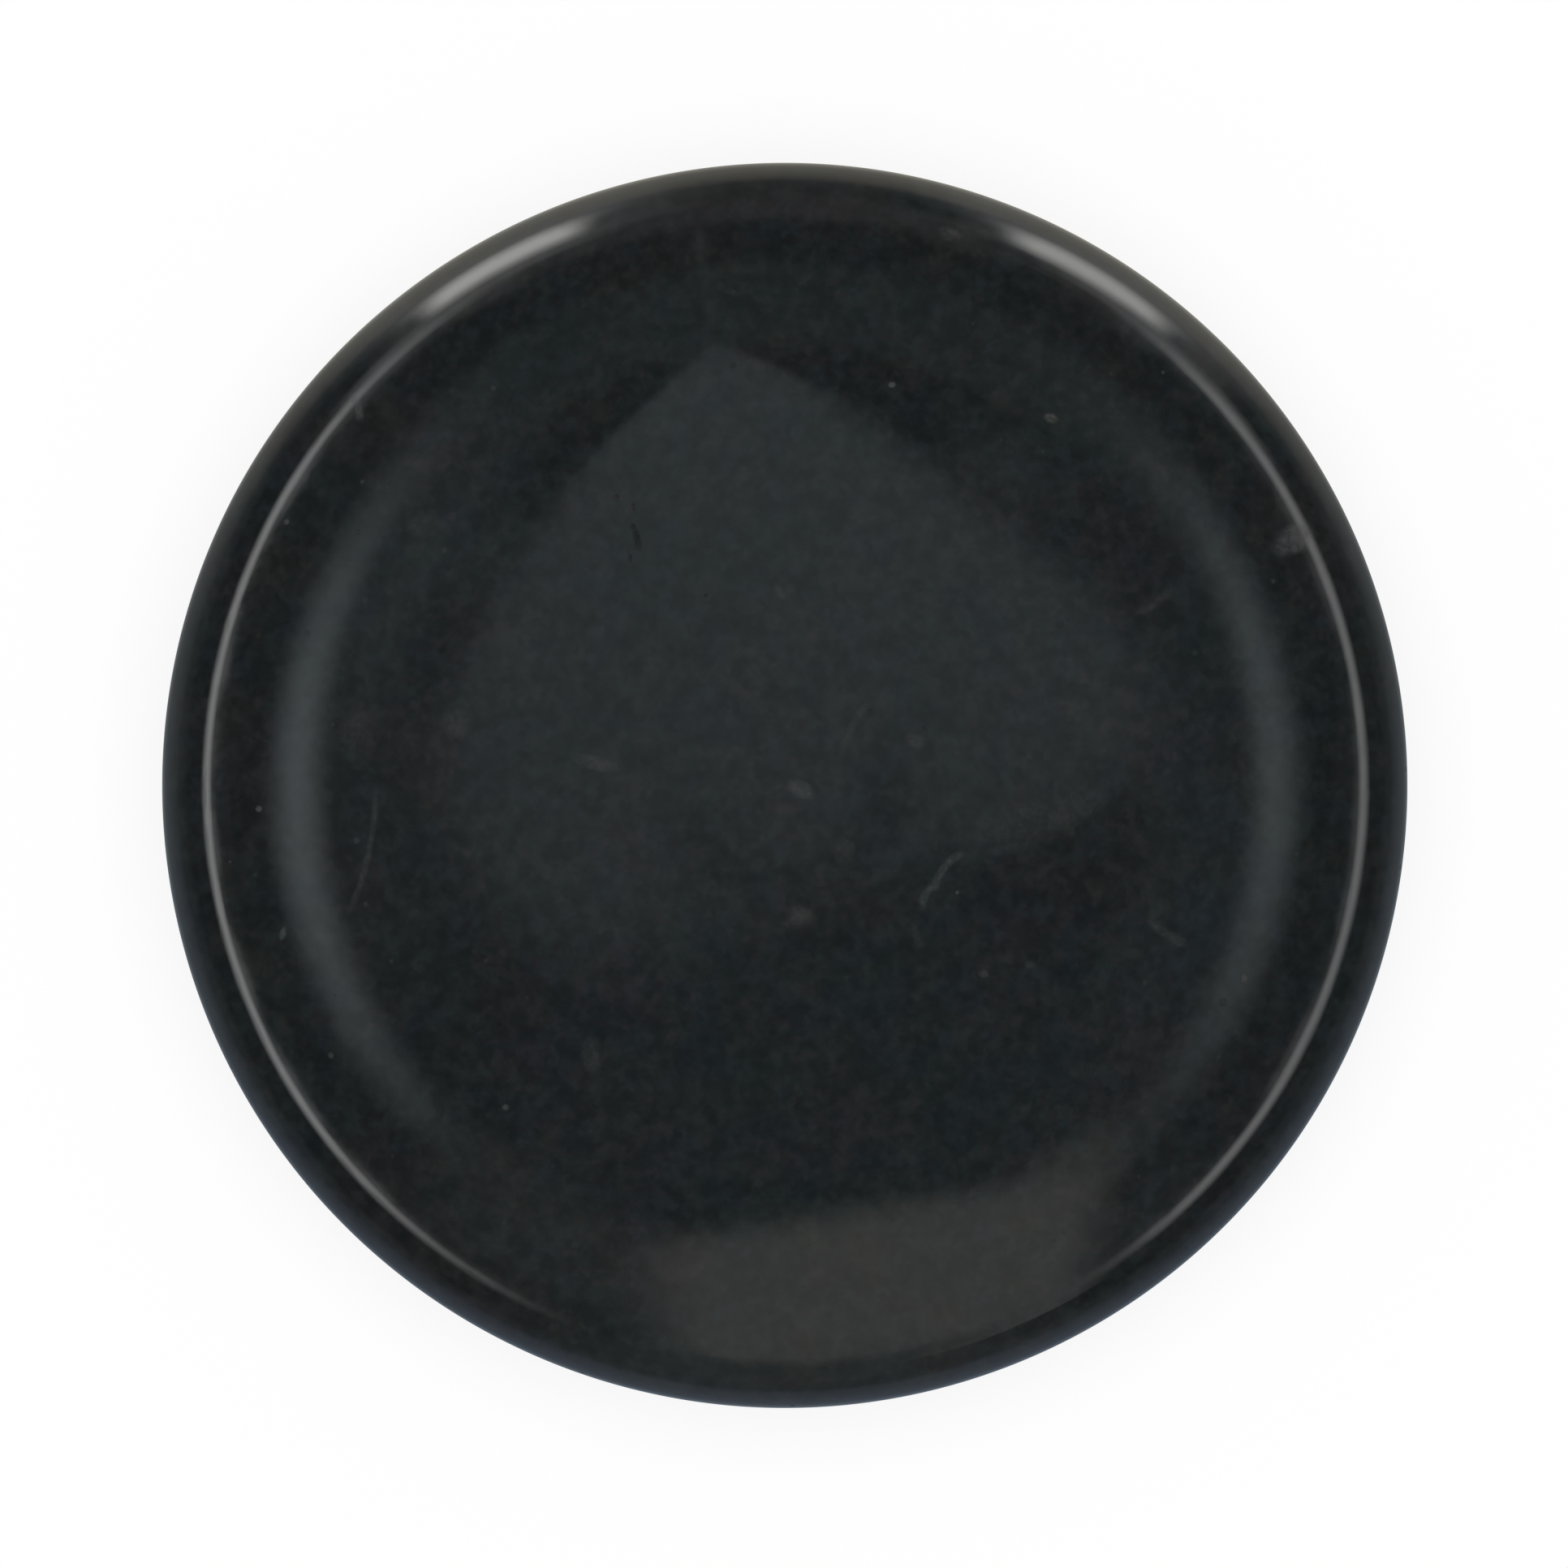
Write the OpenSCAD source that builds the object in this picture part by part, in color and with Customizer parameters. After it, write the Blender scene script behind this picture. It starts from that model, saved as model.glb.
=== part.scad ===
// Round basalt massage stone, machine ground and polished.
//
// The stone is one solid piece. Each side is a shallow dome that ends, near the edge, at the arris, which
// is eased to a narrow sloping land. From there a shoulder curves down to the nose, a tighter curve round
// the widest point, and the other side mirrors all this. The crown of the underside is ground flat, so
// that the stone lies still.
//
// Origin: centre of the resting flat. +Z points up, through the crown of the upper dome.
// Slopes are in degrees from level: 0 is a level surface and 90 is an upright one.

/* [Stone] */
// Diameter at the widest point
stone_d = 70; // [60:1:90]
// Diameter of the flat that is ground on the underside
rest_d = 26; // [10:1:40]

/* [Domed sides] */
// Slope of each dome where it reaches the arris
dome_slope = 24.3; // [14:0.1:25]

/* [Arris] */
// Distance in plan from the arris out to the widest point
arris_inset = 2.5; // [2:0.1:4]
// Width in plan of the land that eases the arris
land_w = 0.4; // [0.1:0.1:0.8]

/* [Rim] */
// Slope with which the shoulder starts at the arris
shoulder_slope = 28; // [28:1:34]
// Distance in plan from the nose's start out to the widest point
nose_inset = 1; // [0.6:0.1:1.2]
// Slope at the nose's start
nose_slope = 44; // [40:1:50]

/* [Hidden] */

// Facets of the stone and its domes, and of the small circles of the rim
$fn = 144;
rim_facets = 72;
basalt = [0.16, 0.18, 0.19];

// Point on a circle where its surface has the given slope
function on_circle(centre, radius, slope) = centre + radius * [sin(slope), cos(slope)];
// Height of a circle's upper edge at a distance x from the axis
function height_at(centre, radius, x) = centre.y + sqrt(radius ^ 2 - (x - centre.x) ^ 2);
// Distance from the axis at which two crossing circles are in line with both their centres
function in_line(centre, radius, other) =
    centre.x + radius * (other.x - centre.x) / norm(other - centre);

// The section is drawn with the widest point at height 0. Each curve is a circle that is a little
// steeper at its start than the one before it is at its end, so the two cross in a definite point.
stone_r = stone_d / 2;
arris_r = stone_r - arris_inset;
nose_start_r = stone_r - nose_inset;
nose_break = 2;

// Nose: upright at the widest point
nose_r = nose_inset / (1 - sin(nose_slope + nose_break / 2));
nose_centre = [stone_r - nose_r, 0];
nose_start = [nose_start_r, height_at(nose_centre, nose_r, nose_start_r)];

// Shoulder: from the arris to the nose's start
shoulder_end = nose_slope - nose_break / 2;
shoulder_r = (nose_start_r - arris_r) / (sin(shoulder_end) - sin(shoulder_slope));
shoulder_centre = on_circle(nose_start, -shoulder_r, shoulder_end);
arris = on_circle(shoulder_centre, shoulder_r, shoulder_slope);

// Dome: centred on the axis
dome_r = arris_r / sin(dome_slope);
dome_centre = on_circle(arris, -dome_r, dome_slope);

// Land: the straight line that cuts the corner off, from the dome to the shoulder
land_top_r = arris_r - land_w / 2;
land_foot_r = arris_r + land_w / 2;
land_top = [land_top_r, height_at(dome_centre, dome_r, land_top_r)];
land_drop = land_top.y - height_at(shoulder_centre, shoulder_r, land_foot_r);
land_slope = atan2(land_drop, land_w);

// More than the stone measures, for shapes that only cut
ample = 2 * stone_d;

// Resting flat: how far it lies below the widest point
rest_h = height_at(dome_centre, dome_r, rest_d / 2);

// All that is nearer to the axis than x
module core(x) {
    translate([0, -stone_r]) square([x, stone_d]);
}

// What lies below a shape of the upper side and above the same shape of the lower side
module both_sides() {
    intersection() {
        children();
        mirror([0, 1]) children();
    }
}

// The lens between the two domes, with the corner at each arris cut off
module lens() {
    both_sides() intersection() {
        translate(dome_centre) circle(dome_r);
        translate(land_top) rotate(-land_slope) translate([-ample, -ample]) square([2 * ample, ample]);
    }
}

// The rim: the nose, and the shoulders over and under it
module rim() {
    intersection() {
        both_sides() translate(shoulder_centre) circle(shoulder_r, $fn = rim_facets);
        union() {
            core(in_line(shoulder_centre, shoulder_r, nose_centre));
            translate(nose_centre) circle(nose_r, $fn = rim_facets);
        }
    }
}

// Right half of the stone's section, cut off level at the resting flat
module section() {
    intersection() {
        translate([0, -rest_h]) square(stone_d);
        lens();
        union() {
            core(in_line(dome_centre, dome_r, shoulder_centre));
            rim();
        }
    }
}

// The stone: its section turned once about the upright axis
module stone() {
    color(basalt) translate([0, 0, rest_h]) rotate_extrude() section();
}

stone();
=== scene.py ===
"""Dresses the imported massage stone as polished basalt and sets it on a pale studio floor.

The stone is turned by Geometry Nodes from the section that the CAD solid has, its open pores are sunk
into the finished mesh, and one procedural material gives it grain, scratches and handling marks. Around it
stand the floor, soft light and the cards that its polish reflects.
"""

import logging
from abc import ABC, abstractmethod
from dataclasses import dataclass
from enum import Enum
from functools import cached_property
from math import asin, atan, cos, hypot, pi, radians, sin, sqrt, tan
from typing import Any, Callable, Iterator, Sequence

import bmesh
import bpy
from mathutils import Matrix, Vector


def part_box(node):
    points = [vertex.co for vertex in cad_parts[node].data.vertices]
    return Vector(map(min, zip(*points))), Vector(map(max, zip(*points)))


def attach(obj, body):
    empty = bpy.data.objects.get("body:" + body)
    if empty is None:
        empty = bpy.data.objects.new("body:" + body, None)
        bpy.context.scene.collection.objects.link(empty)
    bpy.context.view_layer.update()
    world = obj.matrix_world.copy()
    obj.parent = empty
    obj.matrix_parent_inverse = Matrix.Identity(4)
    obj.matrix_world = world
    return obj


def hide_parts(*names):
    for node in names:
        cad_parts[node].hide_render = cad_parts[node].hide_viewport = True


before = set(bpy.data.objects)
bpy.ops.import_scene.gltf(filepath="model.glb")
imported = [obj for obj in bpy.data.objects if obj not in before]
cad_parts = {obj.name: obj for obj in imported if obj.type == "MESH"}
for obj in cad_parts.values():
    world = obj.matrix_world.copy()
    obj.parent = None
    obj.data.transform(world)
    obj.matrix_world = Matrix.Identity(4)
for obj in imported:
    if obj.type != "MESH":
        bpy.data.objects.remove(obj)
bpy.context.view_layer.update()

LOG = logging.getLogger("massage_stone")
MM = 0.001
# Slopes in radians that differ by less than this are the same.
SAME_SLOPE = 1e-9
# How far the dressed stone stays inside the solid's own box.
SPARE = 0.001 * MM
Colour = tuple[float, float, float]
Material = bpy.types.Material
Mesh = bpy.types.Mesh
Socket = bpy.types.NodeSocket


class Side(Enum):
    """The two domed sides of the stone, with the direction each one faces."""

    UPPER = 1
    LOWER = -1


def operator(operation: str, swapped: bool = False) -> Callable[..., "Signal"]:
    """Makes an operator of signals.

    Args:
        operation: The operation of the math node that it adds.
        swapped: Whether the signal is the node's last input and not its first.

    Returns:
        The operator's method.
    """

    def method(signal: "Signal", *others: "Number") -> "Signal":
        """Adds the math node and returns what comes out of it."""
        values = (*others, signal) if swapped else (signal, *others)
        return signal.wiring.math(operation, *values)

    return method


class Signal:
    """What comes out of a node. Each operator adds the math node that it stands for."""

    def __init__(self, wiring: "Wiring", socket: Socket) -> None:
        """Keeps the wiring that further nodes join, and the node's output."""
        self.wiring = wiring
        self.socket = socket

    __add__ = __radd__ = operator("ADD")
    __mul__ = __rmul__ = operator("MULTIPLY")
    __sub__, __rsub__ = operator("SUBTRACT"), operator("SUBTRACT", swapped=True)
    __truediv__, __rtruediv__ = operator("DIVIDE"), operator("DIVIDE", swapped=True)
    __lt__, __gt__, __abs__ = operator("LESS_THAN"), operator("GREATER_THAN"), operator("ABSOLUTE")


Number = float | Signal
Value = Number | Sequence[float]
# Name or place of a node's input or output.
Key = str | int
Inputs = dict[Key, Value]


class Wiring:
    """Adds nodes to one shader or geometry node tree and links them."""

    # Places of a Mix node's sockets for its share, its two colours and their mix.
    MIX_INPUTS = (0, 6, 7)
    MIX_RESULT = 2

    def __init__(self, tree: bpy.types.NodeTree) -> None:
        """Keeps the tree that nodes are added to."""
        self.tree = tree

    def node(self, kind: str, inputs: Inputs | None = None, **settings: Any) -> bpy.types.Node:
        """Adds one node.

        Args:
            kind: The node's type name.
            inputs: What goes into it, by name or place.
            settings: Properties of the node itself.

        Returns:
            The new node.
        """
        made = self.tree.nodes.new(kind)
        for name, setting in settings.items():
            setattr(made, name, setting)
        for key, value in (inputs or {}).items():
            self.feed(made.inputs[key], value)
        return made

    def feed(self, socket: Socket, value: Value) -> None:
        """Links a signal into an input, or sets the input's own value.

        Args:
            socket: The input.
            value: A signal or a plain value.
        """
        if isinstance(value, Signal):
            self.tree.links.new(value.socket, socket)
        else:
            socket.default_value = value

    def signal(self, kind: str, inputs: Inputs | None = None, output: Key = 0, **settings: Any) -> Signal:
        """Adds one node, as node() does, and returns one of its outputs."""
        return Signal(self, self.node(kind, inputs, **settings).outputs[output])

    def math(self, operation: str, *values: Value, clamp: bool = False) -> Signal:
        """Adds a math node, and on request keeps its result from 0 to 1."""
        return self.signal("ShaderNodeMath", dict(enumerate(values)), operation=operation, use_clamp=clamp)

    def vector(self, operation: str, *values: Value, output: str = "Vector") -> Signal:
        """Adds a vector math node and returns its vector, or its number as the output "Value"."""
        return self.signal("ShaderNodeVectorMath", dict(enumerate(values)), output, operation=operation)

    def scaled(self, vector: Value, share: Value) -> Signal:
        """Returns a vector or colour times a number."""
        return self.signal("ShaderNodeVectorMath", {0: vector, "Scale": share}, operation="SCALE")

    def split(self, value: Signal, kind: str = "XYZ") -> list[Signal]:
        """Returns the three parts of a vector, or of a colour if the kind is "Color"."""
        made = self.node(f"ShaderNodeSeparate{kind}", {0: value})
        return [Signal(self, made.outputs[place]) for place in range(3)]

    def step(self, value: Value, low: float, high: float, start: float = 0.0, end: float = 1.0) -> Signal:
        """Adds a smooth step that goes from start to end while the value goes from low to high."""
        inputs = {0: value, 1: low, 2: high, 3: start, 4: end}
        return self.signal("ShaderNodeMapRange", inputs, interpolation_type="SMOOTHSTEP")

    def noise(self, size: Number, detail: float, roughness: float = 0.5, output: Key = 0) -> Signal:
        """Adds noise from 0 to 1, with features of a size in metres and a number of finer octaves."""
        inputs = {"Vector": self.place, "Scale": 1 / size, "Detail": detail, "Roughness": roughness}
        return self.signal("ShaderNodeTexNoise", inputs, output)

    def mix(self, share: Value, first: Value, second: Value, blend: str = "MIX") -> Signal:
        """Adds a colour mix.

        Args:
            share: How much of the second colour is used.
            first: The first colour.
            second: The second colour.
            blend: The blend type.

        Returns:
            The mixed colour.
        """
        first, second = (c if isinstance(c, Signal) else (*c, 1.0) for c in (first, second))
        inputs = dict(zip(self.MIX_INPUTS, (share, first, second)))
        return self.signal("ShaderNodeMix", inputs, self.MIX_RESULT, data_type="RGBA", blend_type=blend)

    @cached_property
    def place(self) -> Signal:
        """The point looked at, in metres: its Object coordinates, or its position in a geometry tree."""
        if self.tree.bl_idname == "ShaderNodeTree":
            return self.signal("ShaderNodeTexCoord", output="Object")
        return self.signal("GeometryNodeInputPosition")

    @cached_property
    def axes(self) -> list[Signal]:
        """The point's X, Y and Z."""
        return self.split(self.place)

    @cached_property
    def plan(self) -> list[Signal]:
        """The point's X and Y in millimetres."""
        return [axis * (1 / MM) for axis in self.axes[:2]]

    @cached_property
    def out(self) -> Signal:
        """The point's distance from the upright axis."""
        return self.vector("LENGTH", self.vector("MULTIPLY", self.place, (1.0, 1.0, 0.0)), output="Value")


def new_material(name: str) -> tuple[Material, Wiring]:
    """Adds a material.

    Args:
        name: Its name.

    Returns:
        The material, and the wiring of its nodes.
    """
    made = bpy.data.materials.new(name)
    made.use_nodes = True
    return made, Wiring(made.node_tree)


def new_mesh(name: str, corners: Sequence[tuple[float, ...]], faces: Sequence[tuple[int, ...]] = ()) -> Mesh:
    """Adds a mesh.

    Args:
        name: Its name.
        corners: Its points.
        faces: Its faces, each one the places of its points.

    Returns:
        The mesh.
    """
    mesh = bpy.data.meshes.new(name)
    mesh.from_pydata(corners, [], faces)
    return mesh


def new_object(name: str, data: bpy.types.ID) -> bpy.types.Object:
    """Adds an object to the scene.

    Args:
        name: Its name.
        data: Its mesh, light or camera.

    Returns:
        The object.
    """
    made = bpy.data.objects.new(name, data)
    bpy.context.scene.collection.objects.link(made)
    return made


@dataclass(frozen=True)
class Stretch:
    """A stretch of the section whose slope changes evenly, so it is an arc or a straight line.

    Attributes:
        width: How far it runs outward.
        first: Its slope at the start.
        last: Its slope at the end.
        rows: How many rows of faces it gets.
    """

    width: float
    first: float
    last: float
    rows: int

    @property
    def straight(self) -> bool:
        """Whether it is a straight line."""
        return abs(self.last - self.first) < SAME_SLOPE

    @property
    def rise(self) -> float:
        """How much the sine of its slope grows from its start to its end."""
        return sin(self.last) - sin(self.first)

    def drop(self, share: float = 1.0) -> float:
        """Tells how far it has come down after a share of its width.

        Args:
            share: The share of its width, from 0 to 1.

        Returns:
            The drop in metres.
        """
        if self.straight:
            return self.width * share * tan(self.first)
        bend = self.width / self.rise
        slope = asin(min(1.0, sin(self.first) + self.width * share / bend))
        return bend * (cos(self.first) - cos(slope))

    def steps(self) -> Iterator[tuple[float, float]]:
        """Goes through its rows of faces.

        Yields:
            The end of each row, as its distance out and down from the stretch's start.
        """
        for row in range(1, self.rows + 1):
            share = row / self.rows
            if not self.straight:
                slope = self.first + (self.last - self.first) * row / self.rows
                share = (sin(slope) - sin(self.first)) / self.rise
            yield self.width * share, self.drop(share)


@dataclass(frozen=True)
class Section:
    """The stone's half section: the CAD solid's own sizes, with the corners of the land rounded.

    Attributes:
        radius: Half the width of the stone.
        height: Its whole height.
        rest_radius: Radius of the flat on the underside.
        dome_slope: Slope of the dome at the arris.
        arris_inset: Distance from the arris out to the widest point.
        land_width: Width of the land on the arris.
        ease: Width over which each corner of the land is rounded.
        shoulder_slope: Slope at which the shoulder starts.
        nose_inset: Distance from the nose's start out to the widest point.
        nose_slope: Slope at the nose's start.
        dome_rings: Rings of faces on each dome.
        ease_rows: Rows of faces on each rounded corner of the land.
        shoulder_rows: Rows of faces on each shoulder.
        nose_rows: Rows of faces on each half of the nose.
    """

    radius: float
    height: float
    rest_radius: float = 13 * MM
    dome_slope: float = radians(24.3)
    arris_inset: float = 2.5 * MM
    land_width: float = 0.4 * MM
    ease: float = 0.34 * MM
    shoulder_slope: float = radians(28)
    nose_inset: float = 1 * MM
    nose_slope: float = radians(44)
    dome_rings: int = 75
    ease_rows: int = 6
    shoulder_rows: int = 8
    nose_rows: int = 10

    @property
    def arris(self) -> float:
        """Distance of the arris from the axis."""
        return self.radius - self.arris_inset

    @property
    def dome_radius(self) -> float:
        """Radius of the sphere that each dome is part of."""
        return self.arris / sin(self.dome_slope)

    @property
    def rim_rows(self) -> int:
        """Rows of faces between the two domes."""
        return 2 * sum(stretch.rows for stretch in self.stretches()[1:])

    def stretches(self) -> list[Stretch]:
        """Divides the upper half of the section.

        Returns:
            The stretches from the crown out to the widest point.
        """
        reach = (self.land_width + self.ease) / 2
        dome_width = self.arris - reach
        dome_end = asin(dome_width / self.dome_radius)
        shoulder_width = self.arris_inset - self.nose_inset
        rise = sin(self.nose_slope) - sin(self.shoulder_slope)
        shoulder_start = asin(sin(self.shoulder_slope) + rise * reach / shoulder_width)
        # The land's slope lies halfway between the mean slopes of what it cuts off at each side.
        before, after = (dome_end + self.dome_slope) / 2, (self.shoulder_slope + shoulder_start) / 2
        land = atan((tan(before) + tan(after)) / 2)
        return [
            Stretch(dome_width, 0.0, dome_end, self.dome_rings),
            Stretch(self.ease, dome_end, land, self.ease_rows),
            Stretch(self.land_width - self.ease, land, land, 1),
            Stretch(self.ease, land, shoulder_start, self.ease_rows),
            Stretch(shoulder_width - reach, shoulder_start, self.nose_slope, self.shoulder_rows),
            Stretch(self.nose_inset, self.nose_slope, pi / 2, self.nose_rows),
        ]

    def points(self) -> list[tuple[float, float]]:
        """Draws the whole section.

        Returns:
            Its points from the upper crown to the lower one, as distance from the axis and height.
        """
        half = [(0.0, 0.0)]
        for stretch in self.stretches():
            out, down = half[-1]
            half += [(out + step_out, down + step_down) for step_out, step_down in stretch.steps()]
        crown = half[-1][1]
        rest = crown - self.dome_radius + sqrt(self.dome_radius**2 - self.rest_radius**2)
        scale = self.height / (crown + rest)
        upper = [(out, (crown - down + rest) * scale) for out, down in half]
        lower = [(out, max(0.0, (down - crown + rest) * scale)) for out, down in half[-2::-1]]
        edge = min(range(len(lower)), key=lambda index: abs(lower[index][0] - self.rest_radius))
        lower[edge] = (self.rest_radius, 0.0)
        return upper + lower

    def upper_side(self, out: float) -> tuple[float, float]:
        """Looks at the upper side at one distance from the axis.

        Args:
            out: The distance.

        Returns:
            Its height there, and its slope in radians.
        """
        start, down = 0.0, 0.0
        for stretch in self.stretches():
            if out <= start + stretch.width:
                share = (out - start) / stretch.width
                slope = asin(sin(stretch.first) + stretch.rise * share)
                return self.height - down - stretch.drop(share), slope
            start += stretch.width
            down += stretch.drop()
        return self.height - down, pi / 2


@dataclass(frozen=True)
class Mark(ABC):
    """A mark on a dome. Its lengths are in millimetres, and its directions in degrees from +X.

    Attributes:
        x: Its place in plan, or that of the centre which it runs round.
        y: The same.
    """

    x: float
    y: float

    def seen_from(self, x: Number, y: Number, turn: float) -> tuple[Number, Number]:
        """Returns how far a point in plan lies ahead in a direction from the mark, and aside to its left."""
        east, north, angle = x - self.x, y - self.y, radians(turn)
        return east * cos(angle) + north * sin(angle), north * cos(angle) - east * sin(angle)

    @abstractmethod
    def mask(self, wiring: Wiring) -> Signal:
        """Returns how clearly the mark shows at each point, from 0 to its strength."""


@dataclass(frozen=True)
class Scratch(Mark):
    """A light scratch that runs along part of a circle.

    Attributes:
        radius: Radius of the circle.
        middle: Direction of the scratch's middle from the circle's centre.
        sweep: How far it runs to each side of the middle, in degrees.
        width: Its width.
        strength: How clearly it shows.
    """

    radius: float
    middle: float
    sweep: float
    width: float = 0.44
    strength: float = 0.6

    def mask(self, wiring: Wiring) -> Signal:
        """Draws the scratch, thinner and fainter toward its ends and sides.

        Args:
            wiring: The material's wiring.

        Returns:
            The mask.
        """
        ahead, aside = self.seen_from(*wiring.plan, self.middle)
        angle = abs(wiring.math("ARCTAN2", aside, ahead))
        gap = abs(wiring.math("SQRT", ahead * ahead + aside * aside) - self.radius)
        line = wiring.step(gap, 0.15 * self.width, 0.75 * self.width, self.strength, 0.0)
        sweep = radians(self.sweep)
        return line * wiring.step(angle, 0.4 * sweep, sweep, 1.0, 0.0)


@dataclass(frozen=True)
class Smudge(Mark):
    """A soft patch where handling or polish has left the surface a little dull.

    Attributes:
        length: Its longer reach.
        width: Its shorter reach.
        turn: Direction of its length.
        strength: How clearly it shows.
    """

    length: float
    width: float
    turn: float = 0.0
    strength: float = 0.5

    def mask(self, wiring: Wiring) -> Signal:
        """Draws the smudge, fainter toward its edge.

        Args:
            wiring: The material's wiring.

        Returns:
            The mask.
        """
        along, across = self.seen_from(*wiring.plan, self.turn)
        long, short = along / self.length, across / self.width
        return wiring.step(long * long + short * short, 0.0, 1.0, self.strength, 0.0)


@dataclass(frozen=True)
class Pore(Mark):
    """A gas bubble of the lava that grinding has opened.

    Attributes:
        length: Its longer width.
        width: Its shorter width.
        turn: Direction of its length.
        sink: Its depth as a share of its width.
        side: The side of the stone that it is on.
    """

    length: float
    width: float
    turn: float = 0.0
    sink: float = 0.2
    side: Side = Side.UPPER

    def distance(self, place: Vector, margin: float = 0.0) -> float:
        """Returns a point's distance in plan, where 1 is the edge of the pore with a margin round it."""
        along, across = self.seen_from(place.x / MM, place.y / MM, self.turn)
        return hypot(along / (self.length / 2 + margin), across / (self.width / 2 + margin))

    def mask(self, wiring: Wiring) -> Signal:
        """Returns the pore's inside and its very edge, both at full strength."""
        return Smudge(self.x, self.y, 0.75 * self.length, 0.95 * self.width, self.turn, 2.0).mask(wiring)


PORES = (
    Pore(-8.24, 13.7, 1.05, 0.32, turn=100, sink=0.42),
    Pore(-8.45, 14.4, 0.44, 0.26, turn=115, sink=0.3),
    Pore(-9.41, 16.08, 0.36, 0.28, turn=150),
    Pore(-8.47, 15.58, 0.44, 0.18, turn=93),
    Pore(-8.64, 12.68, 0.46, 0.17, turn=92),
    Pore(-4.4, 10.6, 0.2, 0.16, sink=0.3),
)
MARKS = (
    Scratch(11.25, -6.45, 3.0, 141, 34, strength=0.66),
    Scratch(9.05, -6.8, 1.4, 152, 46, strength=0.62),
    Scratch(12.3, -7.2, 5.1, 193, 10, strength=0.34),
    Scratch(24.66, -3.3, 6.0, 236, 17, width=0.56, strength=0.5),
    Scratch(-39.2, -0.35, 16.3, -10.8, 16, width=0.36, strength=0.36),
    Scratch(10.88, -0.4, 8.0, 153, 15, strength=0.3),
    Scratch(-26.0, 20.5, 2.2, 20, 26, strength=0.3),
    Scratch(19.0, 12.6, 3.0, 305, 30, strength=0.34),
    Smudge(0.9, -0.2, 1.0, 0.6, turn=-30, strength=0.7),
    Smudge(0.8, -7.2, 0.9, 0.7, strength=0.46),
    Smudge(-10.6, 1.25, 1.6, 0.5, turn=-15, strength=0.55),
    Smudge(-18.3, 3.5, 1.1, 1.0, strength=0.42),
    Smudge(-24.0, 3.0, 1.6, 1.2, turn=90, strength=0.25),
    Smudge(-20.3, 14.6, 1.2, 0.8, turn=40, strength=0.26),
    Smudge(-10.8, -15.0, 0.7, 1.2, strength=0.46),
    Smudge(28.5, 13.8, 1.7, 1.0, turn=30, strength=0.46),
    Smudge(14.2, -1.9, 5.6, 1.9, turn=20, strength=0.3),
    Smudge(7.3, 2.5, 0.8, 0.5, turn=-20, strength=0.4),
    Smudge(3.3, -3.6, 0.7, 1.0, strength=0.3),
    Smudge(-0.3, 10.8, 0.6, 0.3, turn=-60, strength=0.4),
    Smudge(6.0, 22.4, 0.26, 0.2, strength=1.6),
    Smudge(14.9, 20.55, 0.52, 0.34, turn=-20, strength=1.2),
    Smudge(-15.6, -18.0, 0.26, 0.22, strength=0.9),
    Smudge(-28.1, -8.3, 0.5, 0.24, turn=75, strength=0.5),
    Smudge(11.1, -10.5, 0.4, 0.3, strength=0.55),
    Smudge(13.7, -10.0, 0.4, 0.3, strength=0.4),
    Smudge(9.3, 30.9, 0.9, 0.5, turn=-20, strength=0.7),
    Smudge(25.7, -10.75, 0.4, 0.24, turn=90, strength=1.4),
    Smudge(-29.45, -1.3, 0.24, 0.24, strength=0.7),
)


@dataclass(frozen=True)
class Dots:
    """Small round dots, at most one in each cell of the rock.

    Attributes:
        cell: Size of the cells.
        share: How many of the cells hold a dot.
        small: Radius of the smallest dot, as a share of the cell.
        large: Radius of the largest dot.
    """

    cell: float
    share: float
    small: float
    large: float

    def mask(self, wiring: Wiring) -> Signal:
        """Draws the dots.

        Args:
            wiring: The material's wiring.

        Returns:
            How clearly one shows at each point, from 0 to 1.
        """
        cells = wiring.node("ShaderNodeTexVoronoi", {"Vector": wiring.place, "Scale": 1 / self.cell})
        lot, size, strength = wiring.split(Signal(wiring, cells.outputs["Color"]), "Color")
        near = Signal(wiring, cells.outputs["Distance"]) / (size * (self.large - self.small) + self.small)
        return (lot < self.share) * wiring.step(near, 0.5, 1.5, 1.0, 0.0) * strength


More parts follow.
